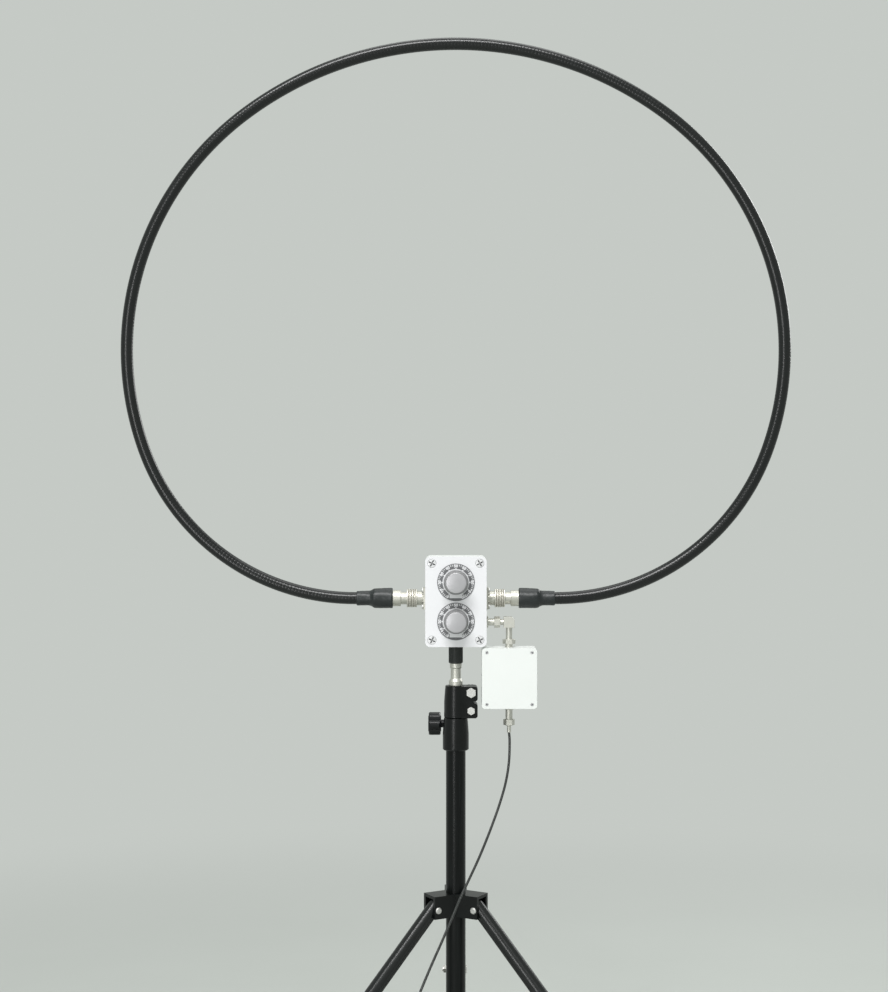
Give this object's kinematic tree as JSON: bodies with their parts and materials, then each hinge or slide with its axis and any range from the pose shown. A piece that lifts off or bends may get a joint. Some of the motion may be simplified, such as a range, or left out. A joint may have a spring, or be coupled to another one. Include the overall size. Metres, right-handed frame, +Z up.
{
  "type": "radio loop antenna",
  "caption": "Magnetic loop antenna of corrugated cable on a tuner box with twin dials and a matching box, carried by a telescopic tripod stand.",
  "frame": {"origin": "on the floor, on the axis of the stand's column", "axes": "+Z up along the column, -Y towards the reader of the dials, +X to that reader's right"},
  "size_m": [0.7504, 0.6298, 1.3777],
  "materials": {
    "cable_jacket": "gloss",
    "boot_rubber": "matt",
    "plated_brass": "polished",
    "plain_steel": "satin",
    "black_enamel": "satin",
    "white_enamel": "satin",
    "pale_lid": "satin",
    "dial_plate": "satin",
    "knob_plastic": "satin",
    "knob_cap": "spun",
    "bare_aluminium": "satin",
    "ferrite": "matt",
    "board": "satin",
    "copper_winding": "satin",
    "lead_jacket": "satin",
    "tie_strap": "matt"
  },
  "bodies": {
    "column": {"column_tube": "black_enamel", "lower_collar": "black_enamel", "lower_collar_bolts": "plain_steel", "leg_hub": "black_enamel", "hub_pins": "plain_steel", "feed_lead": "lead_jacket", "lead_coil": "lead_jacket", "coil_tie": "tie_strap", "far_plug": "plated_brass"},
    "mast_mid": {"mid_tube": "black_enamel", "upper_collar": "black_enamel", "upper_collar_bolts": "plain_steel"},
    "mast_top": {"top_tube": "black_enamel", "stud": "plain_steel"},
    "head": {"loop_cable": "cable_jacket", "cable_boots": "boot_rubber", "loop_plugs": "plated_brass", "loop_sockets": "plated_brass", "socket_screws": "plain_steel", "tuner_case": "white_enamel", "tuner_lid": "pale_lid", "lid_screws": "plain_steel", "dial_plates": "dial_plate", "panel_nuts": "plain_steel", "capacitor_frames": "bare_aluminium", "capacitor_stators": "bare_aluminium", "coupling_toroid": "ferrite", "feed_socket": "plated_brass", "elbow": "plated_brass", "match_case": "white_enamel", "match_lid": "white_enamel", "match_screws": "knob_plastic", "match_sockets": "plated_brass", "match_board": "board", "match_toroid": "copper_winding", "lead_plug": "plated_brass", "mount_sleeve": "black_enamel"},
    "tuning_upper": {"upper_knob": "knob_plastic", "upper_knob_cap": "knob_cap", "upper_rotor": "bare_aluminium"},
    "tuning_lower": {"lower_knob": "knob_plastic", "lower_knob_cap": "knob_cap", "lower_rotor": "bare_aluminium"},
    "nut_left": {"left_coupling_nut": "plated_brass"},
    "nut_right": {"right_coupling_nut": "plated_brass"},
    "nut_elbow": {"elbow_nut": "plated_brass"},
    "nut_lead": {"lead_plug_nut": "plated_brass"},
    "lock_upper": {"upper_lock_knob": "knob_plastic"},
    "lock_lower": {"lower_lock_knob": "knob_plastic"},
    "lock_slider": {"slider_knob": "knob_plastic"},
    "slider": {"brace_slider": "black_enamel"},
    "leg_left": {"left_leg": "black_enamel", "left_foot": "boot_rubber"},
    "leg_right": {"right_leg": "black_enamel", "right_foot": "boot_rubber"},
    "leg_rear": {"rear_leg": "black_enamel", "rear_foot": "boot_rubber"},
    "brace_left": {"left_brace": "black_enamel"},
    "brace_right": {"right_brace": "black_enamel"},
    "brace_rear": {"rear_brace": "black_enamel"}
  },
  "joints": [
    {"name": "leg_left_fold", "type": "hinge", "parent": "column", "child": "leg_left", "pos_m": [-0.02538, -0.01465, 0.4055], "axis": [0.5, -0.866, 0], "range_deg": [0, 42.5]},
    {"name": "brace_left_fold", "type": "hinge", "parent": "leg_left", "child": "brace_left", "pos_m": [-0.11021, -0.06363, 0.2986], "axis": [0.5, -0.866, 0], "range_deg": [-85, 0]},
    {"name": "leg_right_fold", "type": "hinge", "parent": "column", "child": "leg_right", "pos_m": [0.02538, -0.01465, 0.4055], "axis": [0.5, 0.866, 0], "range_deg": [0, 42.5]},
    {"name": "brace_right_fold", "type": "hinge", "parent": "leg_right", "child": "brace_right", "pos_m": [0.11021, -0.06363, 0.2986], "axis": [0.5, 0.866, 0], "range_deg": [-85, 0]},
    {"name": "leg_rear_fold", "type": "hinge", "parent": "column", "child": "leg_rear", "pos_m": [0, 0.0293, 0.4055], "axis": [-1, 0, 0], "range_deg": [0, 42.5]},
    {"name": "brace_rear_fold", "type": "hinge", "parent": "leg_rear", "child": "brace_rear", "pos_m": [0, 0.12726, 0.2986], "axis": [-1, 0, 0], "range_deg": [-85, 0]},
    {"name": "slider_slide", "type": "slide", "parent": "column", "child": "slider", "axis": [0, 0, -1], "range_m": [0, 0.0763]},
    {"name": "slider_lock", "type": "hinge", "parent": "slider", "child": "lock_slider", "pos_m": [0, 0, 0.19169], "axis": [0.866, 0.5, 0], "range_deg": [-360, 360]},
    {"name": "mast_lower_slide", "type": "slide", "parent": "column", "child": "mast_mid", "axis": [0, 0, 1], "range_m": [0, 0.45]},
    {"name": "mast_upper_slide", "type": "slide", "parent": "mast_mid", "child": "mast_top", "axis": [0, 0, 1], "range_m": [0, 0.45]},
    {"name": "lower_lock", "type": "hinge", "parent": "column", "child": "lock_lower", "pos_m": [0, 0.0185, 0.6068], "axis": [-1, 0, 0], "range_deg": [-360, 360]},
    {"name": "upper_lock", "type": "hinge", "parent": "mast_mid", "child": "lock_upper", "pos_m": [0.017, 0, 0.645], "axis": [0, 1, 0], "range_deg": [-360, 360]},
    {"name": "head_turn", "type": "hinge", "parent": "mast_top", "child": "head", "pos_m": [0, 0, 0.677], "axis": [0, 0, 1], "range_deg": [-180, 0]},
    {"name": "upper_tuning", "type": "hinge", "parent": "head", "child": "tuning_upper", "pos_m": [0, -0.025, 0.76865], "axis": [0, 1, 0], "range_deg": [-90, 90]},
    {"name": "lower_tuning", "type": "hinge", "parent": "head", "child": "tuning_lower", "pos_m": [0, -0.025, 0.72535], "axis": [0, 1, 0], "range_deg": [-90, 90]},
    {"name": "left_nut_turn", "type": "hinge", "parent": "head", "child": "nut_left", "pos_m": [-0.05, 0, 0.7497], "axis": [-1, 0, 0], "continuous": true},
    {"name": "right_nut_turn", "type": "hinge", "parent": "head", "child": "nut_right", "pos_m": [0.05, 0, 0.7497], "axis": [1, 0, 0], "continuous": true},
    {"name": "elbow_nut_turn", "type": "hinge", "parent": "head", "child": "nut_elbow", "pos_m": [0.048, -0.008, 0.7235], "axis": [1, 0, 0], "continuous": true},
    {"name": "lead_nut_turn", "type": "hinge", "parent": "head", "child": "nut_lead", "pos_m": [0.0593, -0.008, 0.6125], "axis": [0, 0, 1], "continuous": true}
  ],
  "couplings": [
    {"joint": "brace_left_fold", "follows": "leg_left_fold", "ratio": -2},
    {"joint": "leg_right_fold", "follows": "leg_left_fold", "ratio": 1},
    {"joint": "brace_right_fold", "follows": "leg_left_fold", "ratio": -2},
    {"joint": "leg_rear_fold", "follows": "leg_left_fold", "ratio": 1},
    {"joint": "brace_rear_fold", "follows": "leg_left_fold", "ratio": -2},
    {"joint": "slider_slide", "follows": "leg_left_fold", "m_per_rad": 0.10271}
  ]
}
